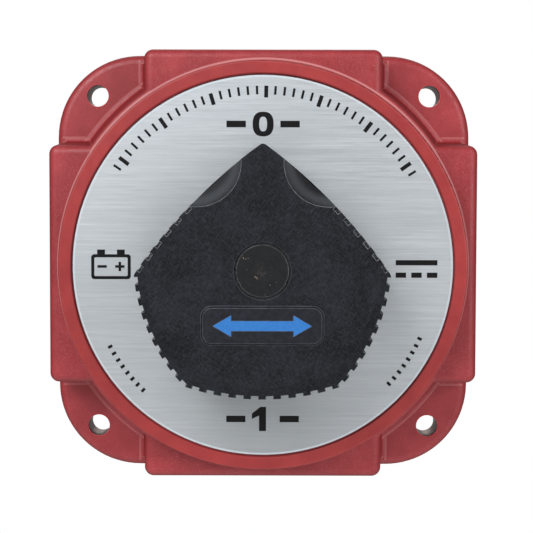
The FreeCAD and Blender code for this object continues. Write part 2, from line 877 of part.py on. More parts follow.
def build_rotor_carrier():
    body = new_body("rotor_carrier")
    sketch = new_sketch(body, "disc", height="carrier_low")
    add_circle(sketch, "carrier_radius")
    pad(body, sketch, "carrier_high - carrier_low")
    sketch = new_sketch(body, "lug", height="carrier_low")
    outline = rectangle("-lug_reach", "-lug_half_width", "-carrier_radius + 3", "lug_half_width")
    add_loop(sketch, outline)
    pad(body, sketch, "carrier_high - carrier_low")
    sketch = new_sketch(body, "detent_notch", height="carrier_high")
    floor = "detent_notch_depth - carrier_radius"
    beyond = "-carrier_radius - 1"
    wide = "detent_notch_half_width"
    add_loop(sketch, [("-1", floor), (f"-{wide} - 1", beyond), (f"{wide} + 1", beyond), ("1", floor)])
    notch = pocket(body, sketch, "carrier_high - carrier_low + 1")
    polar(body, [notch], 2, sketch)
    sketch = new_sketch(body, "drive_hole", height="carrier_high")
    half = "drive_square / 2 + 0.05"
    add_loop(sketch, rectangle(f"-({half})", f"-({half})", half, half))
    pocket(body, sketch, "carrier_high - carrier_low + 1")
    sketch = new_sketch(body, "rivet_holes", height="carrier_high")
    for spot in RIVETS:
        add_circle(sketch, "rivet_radius", spot)
    pocket(body, sketch, "carrier_high - carrier_low + 1")


RIVETS = [
    (f"rivet_circle_radius * cos({angle})", f"rivet_circle_radius * sin({angle})")
    for angle in (35, 90, 145)
]


def build_contact_segment():
    """A copper sector that bridges both fixed contacts at ON."""
    body = new_body("contact_segment")
    sketch = new_sketch(body, "sector", height="segment_low")
    turn = math.radians(value("segment_half_angle"))
    inner = value("segment_inner_radius")
    outer = value("segment_outer_radius")
    centre = FreeCAD.Vector(0, 0, 0)
    up = FreeCAD.Vector(0, 0, 1)
    first = math.pi / 2 - turn
    last = math.pi / 2 + turn
    for radius in (inner, outer):
        circle = Part.Circle(centre, up, radius)
        sketch.addGeometry(Part.ArcOfCircle(circle, first, last), False)
    for vertex, angle in ((1, first), (2, last)):
        way = FreeCAD.Vector(math.cos(angle), math.sin(angle), 0)
        line = sketch.addGeometry(Part.LineSegment(way * inner, way * outer), False)
        sketch.addConstraint(Sketcher.Constraint("Coincident", line, 1, 0, vertex))
        sketch.addConstraint(Sketcher.Constraint("Coincident", line, 2, 1, vertex))
    for arc, radius in ((0, "segment_inner_radius"), (1, "segment_outer_radius")):
        sketch.addConstraint(Sketcher.Constraint("Coincident", arc, 3, -1, 1))
        index = sketch.addConstraint(Sketcher.Constraint("Radius", arc, value(radius)))
        sketch.setExpression(f"Constraints[{index}]", bound(radius))
    base = pad(body, sketch, "carrier_low - segment_low")
    round_edges(body, base, "contact_corner", upright)
    sketch = new_sketch(body, "rivet_seats", height="segment_low")
    for spot in RIVETS:
        add_circle(sketch, "rivet_seat_radius", spot)
    pocket(body, sketch, "rivet_seat_depth", upward=True)
    sketch = new_sketch(body, "rivet_holes", height="segment_low")
    for spot in RIVETS:
        add_circle(sketch, "rivet_radius", spot)
    pocket(body, sketch, "carrier_low - segment_low + 1", upward=True)
    group("segment_rivets", [segment_rivet(x, y) for x, y in RIVETS])


def segment_rivet(x, y):
    seat = "segment_low + rivet_seat_depth"
    foot = cylinder("rivet_seat_radius", "segment_low + 0.2", seat, x, y)
    shank = cylinder("rivet_radius", seat, "carrier_high", x, y)
    top = "carrier_high + rivet_head_height"
    head = cylinder("rivet_head_radius", "carrier_high", top, x, y)
    return fuse(foot, shank, head)


def build_disc_springs():
    """Two conical washers, rim to rim, that press the rotor on its contacts."""
    room = "(collar_height - carrier_high)"
    middle = f"carrier_high + {room} / 2"
    flat = "disc_spring_thickness"
    lower = turned(
        "disc_spring_lower",
        [
            ("disc_spring_inner", "carrier_high"),
            ("disc_spring_inner + 0.6", "carrier_high"),
            ("disc_spring_outer", f"{middle} - {flat}"),
            ("disc_spring_outer", middle),
            ("disc_spring_outer - 0.6", middle),
            ("disc_spring_inner", f"carrier_high + {flat}"),
        ],
    )
    upper = turned(
        "disc_spring_upper",
        [
            ("disc_spring_outer - 0.6", middle),
            ("disc_spring_outer", middle),
            ("disc_spring_outer", f"{middle} + {flat}"),
            ("disc_spring_inner + 0.6", "collar_height"),
            ("disc_spring_inner", "collar_height"),
            ("disc_spring_inner", f"collar_height - {flat}"),
        ],
    )
    return lower, upper


def build_detent_spring():
    """A leaf whose nose drops into the rim notch at OFF and at ON."""
    body = new_body("detent_spring")
    sketch = new_sketch(body, "leaf", height="carrier_low + 0.7")
    thick = "leaf_thickness"
    tip = "detent_notch_depth - carrier_radius - leaf_nose_gap"
    high = f"-leaf_line + {thick} / 2"
    low = f"-leaf_line - {thick} / 2"
    bend = "-leaf_bend_line"
    outline = [
        ("leaf_root", low),
        ("leaf_root", high),
        ("16", high),
        ("5", bend),
        ("0.7", tip),
        ("-0.7", tip),
        ("-5", bend),
        ("-8", bend),
        ("-8", f"{bend} - {thick}"),
        ("-4.6", f"{bend} - {thick}"),
        ("-0.4", f"{tip} - {thick}"),
        ("0.4", f"{tip} - {thick}"),
        ("4.6", f"{bend} - {thick}"),
        ("15.8", low),
    ]
    add_loop(sketch, outline)
    pad(body, sketch, "carrier_high - carrier_low - 1.4")


# -------------------------------------------------------------------- knob

KNOB_CORNERS = [
    ("0", "knob_apex"),
    ("-knob_side_x", "-knob_side_y"),
    ("-knob_foot_x", "-knob_foot_y"),
    ("knob_foot_x", "-knob_foot_y"),
    ("knob_side_x", "-knob_side_y"),
]
KNOB_ARCS = {
    0: "knob_upper_arc",
    1: "knob_lower_arc",
    2: "knob_foot_arc",
    3: "knob_lower_arc",
    4: "knob_upper_arc",
}


def side_frame(side):
    """Centre and outward bearing, in degrees, of one arched knob side."""
    start, end = [
        FreeCAD.Vector(value(x), value(y), 0)
        for x, y in (KNOB_CORNERS[side], KNOB_CORNERS[(side + 1) % 5])
    ]
    # the corners run anticlockwise, so each side bulges to the right
    centre = arc_centre(start, end, value(KNOB_ARCS[side]))
    return centre, math.degrees(bearing(right_of(end - start)))


def grip_gaps(body, side, pitch, first, last):
    """Evenly pitched grip gaps along one arched side.

    first and last are distances in pitches from the middle of the side,
    counted anticlockwise round the knob.
    """
    centre, outward = side_frame(side)
    step = math.degrees(value(pitch) / value(KNOB_ARCS[side]))
    sketch = new_sketch(
        body,
        "grip_gap",
        height="knob_flange_top",
        shift=(repr(centre.x), repr(centre.y)),
        turn=repr(outward + first * step),
    )
    outer = KNOB_ARCS[side]
    half = "rib_gap / 2"
    outline = rectangle(f"{outer} - rib_depth", f"-{half}", f"{outer} + 3", half)
    add_loop(sketch, outline)
    gap = pocket(body, sketch, "knob_top - knob_flange_top + 1", upward=True)
    count = int(round(last - first)) + 1
    return polar(body, [gap], count, sketch, repr(step * (count - 1)))


GRIP_RUNS = [
    (0, "rib_pitch", 0.5, 5.5),
    (1, "side_rib_pitch", -3.9, 4.1),
    (2, "rib_pitch", -4.5, 4.5),
    (3, "side_rib_pitch", -4.1, 3.9),
    (4, "rib_pitch", -5.5, -0.5),
]


def build_knob():
    body = new_body("knob")
    sketch = new_sketch(body, "outline", height="knob_bottom")
    add_loop(sketch, KNOB_CORNERS, KNOB_ARCS)
    base = pad(body, sketch, "knob_top - knob_bottom")

    def apex(edge):
        return upright(edge) and edge.Vertexes[0].Point.y > 10

    base = round_edges(body, base, "knob_apex_round", apex)
    base = round_edges(body, base, "knob_corner_round", lambda edge: upright(edge) and corner(edge))
    beyond = "knob_flat_radius + 20"
    groove(
        body,
        [
            ("knob_flat_radius", "knob_top"),
            ("knob_flat_radius", "knob_top + 1"),
            (beyond, "knob_top + 1"),
            (beyond, "knob_top - 20 * tan(knob_bevel_angle)"),
        ],
    )
    top_rim = value("knob_bottom + 20")

    def rim(edge):
        return all(level > top_rim for level in levels(edge)) and outer_edge(edge)

    round_edges(body, body.Tip, "knob_edge_round", rim)
    for run in GRIP_RUNS:
        grip_gaps(body, *run)
    add_knob_flange(body)
    scoops(body)
    hollow_knob(body)


def add_knob_flange(body):
    """The low skirt that stands a little proud of the ribs."""
    grow = "(1 + flange_reach / knob_apex)"
    corners = [(f"({x}) * {grow}", f"({y}) * {grow}") for x, y in KNOB_CORNERS]
    arcs = {side: f"{radius} * {grow}" for side, radius in KNOB_ARCS.items()}
    blank = doc.addObject("PartDesign::Body", "knob_flange_blank")
    sketch = new_sketch(blank, "flange", height="knob_bottom")
    add_loop(sketch, corners, arcs)
    base = pad(blank, sketch, "knob_flange_top - knob_bottom")
    base = round_edges(blank, base, "knob_corner_round", upright)
    round_edges(blank, base, "flange_round", at_level("knob_flange_top"))
    join_body(body, blank)


def join_body(body, blank):
    """Fuse a separately rounded body into this one."""
    join = body.newObject("PartDesign::Boolean", "Boolean")
    join.Type = "Fuse"
    join.setObjects([blank])
    body.Tip = join
    doc.recompute()


def corner(edge):
    """True at the four blunt corners of the knob's outline."""
    point = edge.Vertexes[0].Point
    return any(
        near(point.x, value(x), 0.01) and near(point.y, value(y), 0.01)
        for x, y in KNOB_CORNERS[1:]
    )


def outer_edge(edge):
    """True on the outline's rim, away from the flat's own circle."""
    middle = edge.valueAt((edge.FirstParameter + edge.LastParameter) / 2)
    span = math.hypot(middle.x, middle.y)
    return abs(span - value("knob_flat_radius")) > 0.01


def scoops(body):
    """A tilted finger scoop in each upper side."""
    for sign in (-1, 1):
        x, y = sign * value("scoop_centre_x"), value("scoop_centre_y")
        centre = FreeCAD.Vector(x, y, value("knob_top"))
        slant = math.radians(value("scoop_bearing"))
        outward = FreeCAD.Vector(sign * math.cos(slant), math.sin(slant), 0)
        tilt = math.radians(value("scoop_tilt"))
        way = outward * math.sin(tilt) - FreeCAD.Vector(0, 0, 1) * math.cos(tilt)
        feature = body.newObject("PartDesign::SubtractiveCylinder", "Scoop")
        feature.setExpression("Radius", bound("scoop_radius"))
        feature.setExpression("Height", bound("scoop_length"))
        turn = FreeCAD.Rotation(FreeCAD.Vector(0, 0, 1), way)
        feature.Placement = FreeCAD.Placement(centre - way * value("scoop_rise"), turn)
        doc.recompute()


def hollow_knob(body):
    groove(
        body,
        [
            ("0", "knob_bottom - 1"),
            ("knob_hollow_radius", "knob_bottom - 1"),
            ("knob_hollow_radius", "knob_hollow_top - 2"),
            ("knob_hollow_radius - 2", "knob_hollow_top"),
            ("knob_boss_radius", "knob_hollow_top"),
            ("knob_boss_radius", "knob_boss_bottom"),
            ("0", "knob_boss_bottom"),
        ],
    )
    sketch = new_sketch(body, "square_socket", height="knob_boss_bottom")
    half = "knob_square / 2 + 0.04"
    add_loop(sketch, rectangle(f"-({half})", f"-({half})", half, half))
    pocket(body, sketch, "knob_socket_top - knob_boss_bottom", upward=True)
    groove(
        body,
        [
            ("0", "knob_socket_top - 1"),
            ("screw_radius + 0.2", "knob_socket_top - 1"),
            ("screw_radius + 0.2", "knob_web_top"),
            ("cap_radius", "knob_web_top"),
            ("cap_radius", "knob_top - 0.6"),
            ("cap_recess_radius", "knob_top - 0.6"),
            ("cap_recess_radius", "knob_top + 1"),
            ("0", "knob_top + 1"),
        ],
    )


def build_knob_fittings():
    turned(
        "knob_cap",
        [
            ("0", "cap_bottom"),
            ("cap_radius - cap_skirt", "cap_bottom"),
            ("cap_radius - cap_skirt", "cap_bottom - cap_skirt_depth"),
            ("cap_radius - 0.05", "cap_bottom - cap_skirt_depth"),
            ("cap_radius - 0.05", "knob_top - 0.35"),
            ("cap_radius - 0.4", "knob_top"),
            ("0", "knob_top"),
        ],
    )
    seat = "knob_web_top + screw_washer_thickness"
    washer = ring("screw_washer_radius", "screw_radius + 0.1", "knob_web_top", seat)
    finish(washer, "knob_screw_washer")
    screw_end = "screw_hole_bottom + 3"
    crown = f"{seat} + screw_head_height"
    body = turned(
        "knob_screw",
        [
            ("0", screw_end),
            ("screw_radius - 0.5", screw_end),
            ("screw_radius", f"{screw_end} + 0.5"),
            ("screw_radius", seat),
            ("screw_head_radius", seat),
            ("screw_head_radius", f"{crown} - screw_head_crown"),
            ("screw_head_radius - 1.3", crown),
            ("0", crown),
        ],
    )
    long_side, short_side = "driver_slot_half_length", "driver_slot_half_width"
    for half_x, half_y in ((long_side, short_side), (short_side, long_side)):
        slot = new_sketch(body, "driver_slot", height=crown)
        add_loop(slot, rectangle(f"-{half_x}", f"-{half_y}", half_x, half_y))
        pocket(body, slot, "driver_slot_depth")


def build_badge():
    """A raised plate below the cap with a coloured two-way arrow let into it."""
    body = new_body("knob_badge")
    sketch = new_sketch(body, "plate", height="knob_top")
    low = "-badge_centre_y - badge_half_height"
    high = "-badge_centre_y + badge_half_height"
    add_loop(sketch, rectangle("-badge_half_length", low, "badge_half_length", high))
    base = pad(body, sketch, "badge_rise")
    base = round_edges(body, base, "badge_corner", upright)
    round_edges(body, base, "badge_rise - 0.05", at_level("knob_top + badge_rise"), "Chamfer")
    for label in ("knob_badge", "badge_inlay"):
        owner = body if label == "knob_badge" else new_body(label)
        sketch = new_sketch(owner, "arrow", height="knob_top + badge_rise - inlay_depth")
        add_loop(sketch, arrow_outline())
        if label == "knob_badge":
            pocket(owner, sketch, "inlay_depth + 1", upward=True)
        else:
            pad(owner, sketch, "inlay_depth + 0.08")


def arrow_outline():
    """Corners of a long bar with a head at each end."""
    middle = "-badge_centre_y"
    tip = "inlay_half_length"
    neck = "(inlay_half_length - inlay_head_length)"
    tall = "inlay_half_height"
    bar = "inlay_bar_half_height"
    return [
        (f"-{tip}", middle),
        (f"-{neck}", f"{middle} - {tall}"),
        (f"-{neck}", f"{middle} - {bar}"),
        (neck, f"{middle} - {bar}"),
        (neck, f"{middle} - {tall}"),
        (tip, middle),
        (neck, f"{middle} + {tall}"),
        (neck, f"{middle} + {bar}"),
        (f"-{neck}", f"{middle} + {bar}"),
        (f"-{neck}", f"{middle} + {tall}"),
    ]


# ------------------------------------------------------------------- write


def check_document():
    for item in doc.Objects:
        if "Invalid" in item.State or "Error" in item.State:
            raise RuntimeError(f"{item.Label} is {item.State}")
    for item in sub_parts:
        if item.Shape.isNull() or not item.Shape.isValid() or not item.Shape.Solids:
            raise RuntimeError(f"{item.Label} has no valid shape")


def write_parts():
    os.makedirs("parts", exist_ok=True)
    for item in sub_parts:
        item.Shape.exportStep(os.path.join("parts", f"{item.Label}.step"))
        box = item.Shape.BoundBox
        print(
            f"{item.Label:22s} solids {len(item.Shape.Solids)} volume {item.Shape.Volume:10.1f}"
            f"  x {box.XMin:7.2f} {box.XMax:7.2f}  y {box.YMin:7.2f} {box.YMax:7.2f}"
            f"  z {box.ZMin:7.2f} {box.ZMax:7.2f}"
        )


build_housing()
build_housing_fittings()
build_terminal_base()
build_terminals()
build_spindle()
build_rotor_carrier()
build_contact_segment()
build_disc_springs()
build_detent_spring()
build_knob()
build_knob_fittings()
build_badge()
doc.recompute()
check_document()
write_parts()
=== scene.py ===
"""Looks of the battery switch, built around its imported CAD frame."""
import json
import math

import bpy
from mathutils import Matrix, Vector


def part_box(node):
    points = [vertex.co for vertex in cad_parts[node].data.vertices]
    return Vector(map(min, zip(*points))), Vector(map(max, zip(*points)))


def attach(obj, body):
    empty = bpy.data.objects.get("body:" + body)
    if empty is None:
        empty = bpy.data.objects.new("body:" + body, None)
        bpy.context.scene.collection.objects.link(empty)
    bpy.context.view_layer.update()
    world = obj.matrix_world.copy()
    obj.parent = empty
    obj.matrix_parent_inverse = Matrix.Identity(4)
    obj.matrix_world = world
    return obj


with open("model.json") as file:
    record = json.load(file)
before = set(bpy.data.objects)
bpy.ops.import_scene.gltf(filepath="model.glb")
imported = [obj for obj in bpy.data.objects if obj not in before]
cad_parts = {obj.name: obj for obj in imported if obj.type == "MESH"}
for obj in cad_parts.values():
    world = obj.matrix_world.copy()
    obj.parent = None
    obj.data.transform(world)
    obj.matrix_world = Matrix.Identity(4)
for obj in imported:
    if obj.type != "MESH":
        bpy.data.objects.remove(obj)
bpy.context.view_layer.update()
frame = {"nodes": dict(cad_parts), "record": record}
NODES = frame["nodes"]
MM = 0.001
DIAL_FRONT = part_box("dial_plate")[0].y
PRINT_THICKNESS = 0.03 * MM

# Places in millimetres that the marks in the materials follow. A pair is a start and an end.
BOLT_OFFSET = 67.5
BOLT_RIM = (3.0, 4.85)
BEZEL = (73.0, 79.4)
BEZEL_SEAT = (80.0, 80.7)
DRUM_FOOT = (87.35, 87.95)
BLOCK_FOOT = (50.3, 50.85)
EAR_FRONT = (-15.5, -14.8)
DIAL_EDGE = (72.1, 72.5)
DIAL_SHADE_CENTRE = -62.0
DISH_OFFSET, DISH_RISE = 25.2, 40.6
DISH_LIP = (15.2, 16.3)
CAP_RECESS_EDGE = (10.9, 11.6)

# Sockets of the colour mixing node, whose names repeat.
MIX_FIRST, MIX_SECOND, MIX_RESULT = 6, 7, 2


# ------------------------------------------------------------- node helpers


def linear(red, green, blue):
    """Scene-linear colour of display values from 0 to 255."""
    def channel(value):
        value /= 255
        return value / 12.92 if value <= 0.04045 else ((value + 0.055) / 1.055) ** 2.4
    return (channel(red), channel(green), channel(blue), 1.0)


class Tree:
    """A material's nodes, with one short call for each kind that is used."""

    def __init__(self, name):
        self.material = bpy.data.materials.new(name)
        self.material.use_nodes = True
        self.nodes = self.material.node_tree.nodes
        self.links = self.material.node_tree.links
        self.shader = self.nodes["Principled BSDF"]
        self.place = self.new("ShaderNodeTexCoord").outputs["Object"]

    def new(self, kind, **settings):
        node = self.nodes.new(kind)
        for key, setting in settings.items():
            setattr(node, key, setting)
        return node

    def feed(self, socket, source):
        """Link a source socket, or set a plain value."""
        if isinstance(source, bpy.types.NodeSocket):
            self.links.new(source, socket)
        else:
            socket.default_value = source

    def scaled(self, x, y, z):
        """Object coordinates in millimetres times a factor on each axis."""
        node = self.new("ShaderNodeMapping")
        self.feed(node.inputs["Vector"], self.place)
        node.inputs["Scale"].default_value = (x / MM, y / MM, z / MM)
        return node.outputs["Vector"]

    def noise(self, per_mm, detail=3, rough=0.5, where=None, distortion=0.0):
        node = self.new("ShaderNodeTexNoise")
        self.feed(node.inputs["Vector"], self.scaled(1, 1, 1) if where is None else where)
        node.inputs["Scale"].default_value = per_mm
        node.inputs["Detail"].default_value = detail
        node.inputs["Roughness"].default_value = rough
        node.inputs["Distortion"].default_value = distortion
        return node.outputs["Fac"]

    def streaks(self, turn_degrees, across, along, detail=3):
        """Noise drawn out along a line that is turned about the Y axis."""
        node = self.new("ShaderNodeMapping", vector_type="TEXTURE")
        self.feed(node.inputs["Vector"], self.place)
        node.inputs["Rotation"].default_value = (0, math.radians(turn_degrees), 0)
        node.inputs["Scale"].default_value = (MM / across, MM / along, MM / along)
        return self.noise(1.0, detail, 0.6, node.outputs["Vector"], 0.4)

    def remap(self, source, low, high, to_low=0.0, to_high=1.0):
        node = self.new("ShaderNodeMapRange")
        for socket, item in zip(node.inputs, (source, low, high, to_low, to_high)):
            self.feed(socket, item)
        return node.outputs["Result"]

    def math(self, operation, first, second=0.0):
        node = self.new("ShaderNodeMath", operation=operation)
        for socket, item in zip(node.inputs, (first, second)):
            self.feed(socket, item)
        return node.outputs[0]

    def times(self, first, second):
        return self.math("MULTIPLY", first, second)

    def mix(self, factor, first, second):
        node = self.new("ShaderNodeMix", data_type="RGBA")
        self.feed(node.inputs["Factor"], factor)
        self.feed(node.inputs[MIX_FIRST], first)
        self.feed(node.inputs[MIX_SECOND], second)
        return node.outputs[MIX_RESULT]

    def bump(self, height, depth_mm, under=None):
        node = self.new("ShaderNodeBump")
        node.inputs["Strength"].default_value = 1.0
        node.inputs["Distance"].default_value = depth_mm * MM
        self.feed(node.inputs["Height"], height)
        if under is not None:
            self.feed(node.inputs["Normal"], under)
        return node.outputs["Normal"]

    def soft_edges(self, radius_mm):
        """The surface normal with its edges rounded off by a small radius."""
        node = self.new("ShaderNodeBevel", samples=6)
        node.inputs["Radius"].default_value = radius_mm * MM
        return node.outputs["Normal"]

    def edge_mask(self, radius_mm, low=0.0, high=0.25):
        """One on edges and corners, zero on faces."""
        geometry = self.new("ShaderNodeNewGeometry")
        product = self.new("ShaderNodeVectorMath", operation="DOT_PRODUCT")
        self.feed(product.inputs[0], self.soft_edges(radius_mm))
        self.feed(product.inputs[1], geometry.outputs["Normal"])
        away = self.math("SUBTRACT", 1.0, product.outputs["Value"])
        return self.remap(away, low, high)

    def axes(self):
        """Object coordinates in millimetres, one socket for each axis."""
        node = self.new("ShaderNodeSeparateXYZ")
        self.feed(node.inputs[0], self.scaled(1, 1, 1))
        return node.outputs

    def distances(self):
        """Distances in millimetres from the upright and from the level centre plane."""
        axes = self.axes()
        return [self.math("ABSOLUTE", axes[name]) for name in ("X", "Z")]

    def length(self, across, rise):
        squares = [self.times(side, side) for side in (across, rise)]
        return self.math("SQRT", self.math("ADD", *squares))

    def radius(self, x=0.0, z=0.0):
        """Distance in millimetres from an axis that runs along Y."""
        axes = self.axes()
        return self.length(self.math("SUBTRACT", axes["X"], x), self.math("SUBTRACT", axes["Z"], z))

    def bolt_radius(self):
        """Distance in millimetres from the nearest of the four bolt axes."""
        return self.length(*[self.math("SUBTRACT", side, BOLT_OFFSET) for side in self.distances()])

    def dish_radii(self):
        """Distances in millimetres from the axes of the knob's two finger dishes."""
        return [self.radius(side * DISH_OFFSET, DISH_RISE) for side in (-1, 1)]

    def grazing(self, low, high):
        """One where the surface turns away from the viewer."""
        facing = self.new("ShaderNodeLayerWeight").outputs["Facing"]
        return self.remap(facing, low, high)

    def band(self, source, span, soft):
        """One inside the span, falling to zero over soft on both sides."""
        low, high = span
        rising = self.remap(source, low - soft, low)
        falling = self.remap(source, high, high + soft, 1.0, 0.0)
        return self.times(rising, falling)

    def finish(self, colour, roughness, normal=None, metallic=0.0, specular=None):
        inputs = self.shader.inputs
        self.feed(inputs["Base Color"], colour)
        self.feed(inputs["Roughness"], roughness)
        inputs["Metallic"].default_value = metallic
        if normal is not None:
            self.feed(inputs["Normal"], normal)
        if specular is not None:
            inputs["Specular IOR Level"].default_value = specular
        return self.material


# ---------------------------------------------------------------- materials


def red_plastic():
    """Moulded red housing: grain, flow mottling, edges paler from wear and a painted highlight, painted
    shade at grazing angles and in the bolt holes, thin painted highlight lines at its steps.
    """
    tree = Tree("housing_red")
    pale = linear(226, 146, 148)
    mottle = tree.noise(0.09, 5, 0.6)
    blotch = tree.remap(mottle, 0.35, 0.65)
    colour = tree.mix(blotch, linear(163, 52, 58), linear(146, 40, 46))
    speck = tree.noise(2.6, 3, 0.7)
    colour = tree.mix(tree.remap(speck, 0.53, 0.72, 0.0, 0.30), colour, pale)

    level = tree.axes()["Y"]
    bezel = tree.times(tree.band(tree.radius(), BEZEL, 0.5), tree.remap(level, -44.0, -48.0))
    colour = tree.mix(bezel, colour, tree.mix(blotch, linear(160, 48, 47), linear(147, 39, 42)))
    # Painted shade: the colour turns darker and deeper red where the surface turns away from the viewer.
    colour = tree.mix(tree.grazing(0.22, 0.60), colour, linear(132, 14, 20))
    # Painted shade on the walls and rims of the bolt holes, a darker saturated red.
    bolt_rim_shade = tree.band(tree.bolt_radius(), BOLT_RIM, 0.25)
    colour = tree.mix(tree.times(bolt_rim_shade, 0.8), colour, linear(160, 28, 36))

    # Painted highlights: thin pale lines at the bezel seat and at the feet of the drum and the blocks.
    seat_highlight = tree.times(tree.band(tree.radius(), BEZEL_SEAT, 0.2), tree.remap(level, -38.0, -38.6))
    colour = tree.mix(tree.times(seat_highlight, 0.5), colour, linear(226, 160, 160))
    drum_foot_highlight = tree.band(tree.radius(), DRUM_FOOT, 0.25)
    block_foot_highlight = tree.band(tree.math("MINIMUM", *tree.distances()), BLOCK_FOOT, 0.25)
    block_foot_highlight = tree.times(block_foot_highlight, tree.remap(tree.radius(), 88.0, 88.5))
    foot_highlight = tree.math("MAXIMUM", drum_foot_highlight, block_foot_highlight)
    foot_highlight = tree.times(foot_highlight, tree.band(level, EAR_FRONT, 0.2))
    colour = tree.mix(tree.times(foot_highlight, 0.26), colour, linear(226, 150, 150))

    # Paler edges: partly rubbed wear, partly a painted highlight on the roundings.
    patches = tree.remap(tree.noise(0.3, 3), 0.3, 0.7, 0.35, 0.8)
    colour = tree.mix(tree.times(tree.edge_mask(0.7), patches), colour, pale)
    rough = tree.remap(tree.noise(0.4, 4), 0.3, 0.7, 0.36, 0.52)
    edge_rough = tree.remap(tree.grazing(0.45, 0.85), 0.0, 1.0, 0.36, 0.95)
    rough = tree.math("MAXIMUM", rough, edge_rough)
    normal = tree.bump(tree.noise(2.6, 3, 0.6), 0.03, tree.soft_edges(0.35))
    normal = tree.bump(tree.noise(0.12, 2), 0.10, normal)
    return tree.finish(colour, rough, normal, specular=0.45)


def dial_metal():
    """Clear-lacquered aluminium, brushed from side to side."""
    tree = Tree("dial_aluminium")
    fine = tree.noise(1.0, 4, 0.75, tree.scaled(0.05, 0.05, 3.2))
    coarse = tree.noise(1.0, 3, 0.6, tree.scaled(0.012, 0.012, 0.9))
    cloud = tree.noise(0.02, 3, 0.6)
    colour = tree.mix(tree.remap(fine, 0.3, 0.7), linear(184, 190, 195), linear(210, 215, 219))
    colour = tree.mix(tree.remap(coarse, 0.35, 0.68, 0.0, 0.30), colour, linear(172, 178, 184))
    colour = tree.mix(tree.remap(cloud, 0.35, 0.7, 0.0, 0.2), colour, linear(180, 184, 187))
    shade = tree.remap(tree.radius(0.0, DIAL_SHADE_CENTRE), 46.0, 14.0, 0.0, 0.5)
    colour = tree.mix(shade, colour, linear(150, 155, 158))
    # Painted highlight: a pale bluish-white rim at the plate's outer edge.
    colour = tree.mix(tree.remap(tree.radius(), *DIAL_EDGE), colour, linear(222, 232, 238))
    rough = tree.remap(fine, 0.3, 0.7, 0.40, 0.52)
    return tree.finish(colour, rough, tree.bump(fine, 0.012), metallic=0.75)


def knob_plastic():
    """Blue-black moulded plastic with handling scuffs, fine scratches, painted shade in the finger
    dishes, a painted highlight on their lips, and edges paler from wear and a painted highlight.
    """
    tree = Tree("knob_black")
    scuff = linear(64, 68, 76)
    cloud = tree.noise(0.07, 6, 0.68)
    colour = tree.mix(tree.remap(cloud, 0.40, 0.60), linear(24, 27, 32), linear(10, 12, 16))
    mottle = tree.noise(1.3, 5, 0.85)
    weave = tree.math("MAXIMUM", tree.streaks(40, 1.9, 0.45), tree.streaks(-48, 1.9, 0.45))
    spots = tree.remap(mottle, 0.46, 0.70, 0.0, 0.26)
    colour = tree.mix(tree.math("ADD", spots, tree.remap(weave, 0.50, 0.72, 0.0, 0.34)), colour, scuff)

    level_lines = tree.noise(1.0, 2, 0.5, tree.scaled(0.10, 0.10, 5.0), 0.4)
    slanted_lines = tree.streaks(38, 5.0, 0.08, 2)
    lines = [tree.remap(source, 0.68, 0.76) for source in (level_lines, slanted_lines)]
    patches = tree.remap(tree.noise(0.05, 2), 0.40, 0.60, 0.0, 0.5)
    colour = tree.mix(tree.times(tree.math("MAXIMUM", *lines), patches), colour, scuff)

    # Painted shade inside the two finger dishes, darkest far from the dish lip.
    dish_shade = tree.math("MAXIMUM", *[tree.remap(span, 16.2, 11.5) for span in tree.dish_radii()])
    colour = tree.mix(tree.times(dish_shade, 0.95), colour, linear(2, 2, 3))
    # Painted highlight: a pale band along the dish lips, where the surface turns from the viewer.
    lip_highlight = tree.math("MAXIMUM", *[tree.band(span, DISH_LIP, 1.8) for span in tree.dish_radii()])
    lip_highlight = tree.times(lip_highlight, tree.grazing(0.10, 0.25))
    colour = tree.mix(tree.times(lip_highlight, 0.34), colour, linear(90, 95, 100))

    # Paler edges: partly rubbed wear, partly a painted highlight along the edges and dish rims, less at
    # the cap recess edge.
    patches = tree.remap(tree.noise(0.5, 3), 0.3, 0.7, 0.5, 1.0)
    edge_wear_and_highlight = tree.times(tree.edge_mask(0.55, 0.05, 0.2), patches)
    edge_wear_and_highlight = tree.times(edge_wear_and_highlight, tree.remap(tree.radius(), *CAP_RECESS_EDGE, 0.15, 1.0))
    colour = tree.mix(edge_wear_and_highlight, colour, linear(172, 176, 180))
    rough = tree.remap(mottle, 0.3, 0.75, 0.5, 0.66)
    normal = tree.bump(tree.noise(3.0, 3, 0.6), 0.03, tree.soft_edges(0.3))
    return tree.finish(colour, rough, normal, specular=0.13)


def cap_plastic():
    """Black cap with the moulding gate's marks at its centre."""
    tree = Tree("cap_black")
    colour = tree.mix(tree.remap(tree.noise(0.4, 4), 0.3, 0.7), linear(18, 20, 23), linear(10, 11, 13))
    gate = tree.remap(tree.radius(), 0.5, 4.2, 0.55, 0.0)
    scratches = tree.remap(tree.noise(0.9, 4, 0.6, distortion=2.0), 0.52, 0.66)
    colour = tree.mix(tree.times(gate, scratches), colour, linear(84, 76, 74))
    nicks = tree.remap(tree.noise(0.75, 2), 0.72, 0.76, 0.0, 0.6)
    colour = tree.mix(nicks, colour, linear(132, 118, 104))
    # Paler edges: partly rubbed wear, partly a painted highlight.
    patches = tree.remap(tree.noise(0.3, 3), 0.35, 0.65, 0.3, 1.0)
    edge_wear_and_highlight = tree.times(tree.edge_mask(0.55, 0.02, 0.16), patches)
    colour = tree.mix(edge_wear_and_highlight, colour, linear(150, 152, 155))
    rough = tree.remap(tree.noise(1.0), 0.3, 0.7, 0.42, 0.6)
    normal = tree.bump(tree.noise(3.0, 3), 0.02, tree.soft_edges(0.3))
    return tree.finish(colour, rough, normal, specular=0.28)


